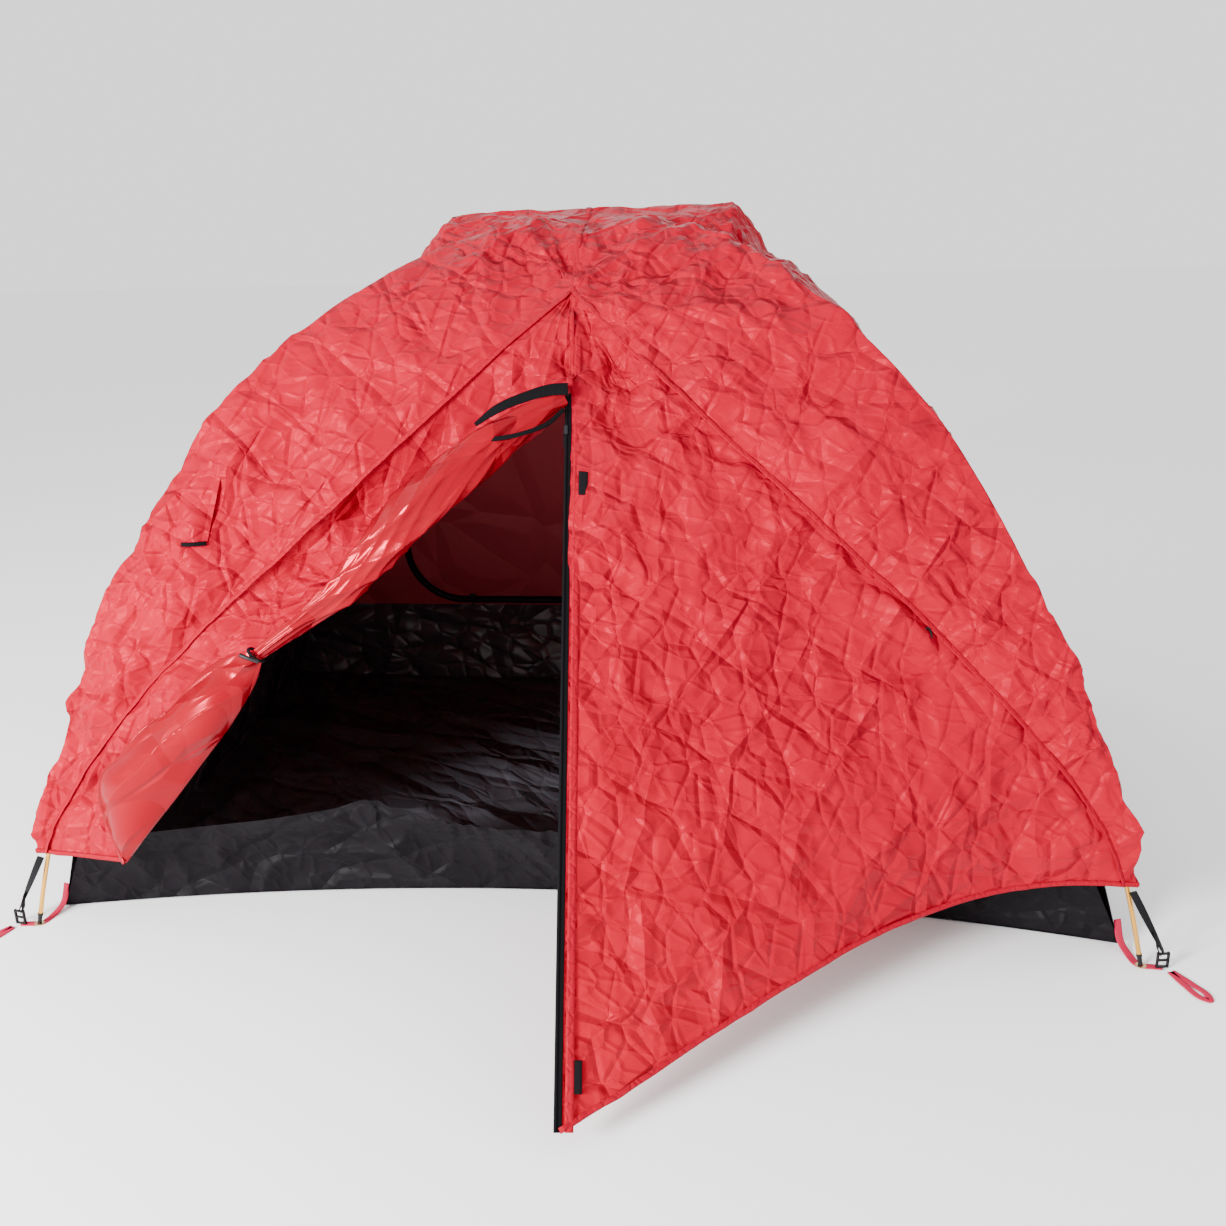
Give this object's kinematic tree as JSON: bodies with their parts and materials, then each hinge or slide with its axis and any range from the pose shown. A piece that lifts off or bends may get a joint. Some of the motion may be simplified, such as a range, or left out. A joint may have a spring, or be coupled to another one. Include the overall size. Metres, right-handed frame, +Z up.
{
  "type": "dome tent",
  "caption": "Free-standing dome tent with crossing arched poles, a short ridge pole, a fly with a front porch and a zipped door, and an inner room on a tub floor.",
  "frame": {"origin": "middle of the four pole feet, on the ground under the floor", "axes": "+X to the right seen from the front, -Y towards the front porch, +Z up"},
  "size_m": [2.2348, 2.0769, 1.3004],
  "materials": {
    "fly_fabric": "coated nylon, crumpled, semi-gloss",
    "fly_inside": "coated inside of the fly, glossy",
    "inner_fabric": "thin breathable polyester, matt",
    "groundsheet_fabric": "coated groundsheet, glossy black",
    "pole_tube": "gold anodised, satin",
    "insert_tube": "plain, satin",
    "elastic_cord": "braided elastic",
    "black_plastic": "moulded, matt",
    "zip_tape": "woven tape with a coil",
    "zip_metal": "painted black",
    "hook_tape": "hook and loop tape",
    "black_webbing": "woven webbing",
    "eyelet_brass": "pressed eyelet",
    "crimson_webbing": "woven webbing"
  },
  "bodies": {
    "root": {"pole_a_section_1": "pole_tube", "pole_a_section_2": "pole_tube", "pole_a_section_3": "pole_tube", "pole_a_section_4": "pole_tube", "pole_a_section_5": "pole_tube", "pole_a_section_6": "pole_tube", "pole_a_section_7": "pole_tube", "pole_b_section_1": "pole_tube", "pole_b_section_2": "pole_tube", "pole_b_section_3": "pole_tube", "pole_b_section_4": "pole_tube", "pole_b_section_5": "pole_tube", "pole_b_section_6": "pole_tube", "pole_b_section_7": "pole_tube", "pole_inserts": "insert_tube", "pole_cords": "elastic_cord", "pole_tips": "black_plastic", "ridge_pole": "pole_tube", "ridge_pole_ends": "black_plastic", "crossing_clip": "black_plastic", "pole_clips": "black_plastic", "groundsheet": "groundsheet_fabric", "tub_front": "groundsheet_fabric", "tub_back": "groundsheet_fabric", "tub_left": "groundsheet_fabric", "tub_right": "groundsheet_fabric", "inner_front": "inner_fabric", "inner_back": "inner_fabric", "inner_left": "inner_fabric", "inner_right": "inner_fabric", "inner_roof": "inner_fabric", "front_door_roll": "inner_fabric", "fly_roof": "fly_fabric", "fly_left": "fly_fabric", "fly_right": "fly_fabric", "fly_back": "fly_fabric", "fly_front_left": "fly_fabric", "fly_front_right": "fly_fabric", "gusset_left": "fly_fabric", "gusset_right": "fly_fabric", "rolled_door": "fly_inside", "door_flap": "fly_inside", "roll_tie": "black_webbing", "vent_hood": "fly_fabric", "corner_webbing": "crimson_webbing", "eyelets": "eyelet_brass", "ladder_locks": "black_plastic", "fly_straps": "black_webbing"},
    "back_door": {"back_door": "inner_fabric", "back_door_zip": "zip_tape"},
    "back_door_slider": {"back_door_slider": "zip_metal"},
    "porch_door": {"porch_door": "fly_fabric", "porch_zip": "zip_tape", "velcro_patches": "hook_tape"},
    "porch_slider": {"porch_slider": "zip_metal"},
    "spare_tie": {"spare_tie": "black_webbing"},
    "peg_loop_front_left": {"peg_loop_front_left": "crimson_webbing"},
    "peg_loop_front_right": {"peg_loop_front_right": "crimson_webbing"},
    "peg_loop_back_left": {"peg_loop_back_left": "crimson_webbing"},
    "peg_loop_back_right": {"peg_loop_back_right": "crimson_webbing"}
  },
  "joints": [
    {"name": "porch_door_swing", "type": "hinge", "parent": "root", "child": "porch_door", "pos_m": [0.012, -0.45356, 0.97224], "axis": [-0.7473, 0.1997, 0.6338], "range_deg": [0, 100]},
    {"name": "porch_zip_slide", "type": "slide", "parent": "porch_door", "child": "porch_slider", "axis": [0.0512, -0.6492, -0.7589], "range_m": [0, 1.106]},
    {"name": "back_door_swing", "type": "hinge", "parent": "root", "child": "back_door", "pos_m": [0.23, 0.66184, 0.238], "axis": [0, -0.3119, 0.9501], "range_deg": [0, 50]},
    {"name": "back_zip_slide", "type": "slide", "parent": "back_door", "child": "back_door_slider", "axis": [1, 0, 0], "range_m": [0, 0.6]},
    {"name": "spare_tie_swing", "type": "hinge", "parent": "root", "child": "spare_tie", "pos_m": [0.64411, -0.61102, 0.58732], "axis": [-1, 0, 0], "range_deg": [0, 70]},
    {"name": "peg_loop_front_left_lift", "type": "hinge", "parent": "root", "child": "peg_loop_front_left", "pos_m": [-1.071, -0.741, 0.0011], "axis": [-0.9063, 0.4226, 0], "range_deg": [0, 100]},
    {"name": "peg_loop_front_right_lift", "type": "hinge", "parent": "root", "child": "peg_loop_front_right", "pos_m": [1.071, -0.741, 0.0011], "axis": [-0.9063, -0.4226, 0], "range_deg": [0, 100]},
    {"name": "peg_loop_back_left_lift", "type": "hinge", "parent": "root", "child": "peg_loop_back_left", "pos_m": [-1.071, 0.741, 0.0011], "axis": [0.9063, 0.4226, 0], "range_deg": [0, 100]},
    {"name": "peg_loop_back_right_lift", "type": "hinge", "parent": "root", "child": "peg_loop_back_right", "pos_m": [1.071, 0.741, 0.0011], "axis": [0.9063, -0.4226, 0], "range_deg": [0, 100]}
  ]
}
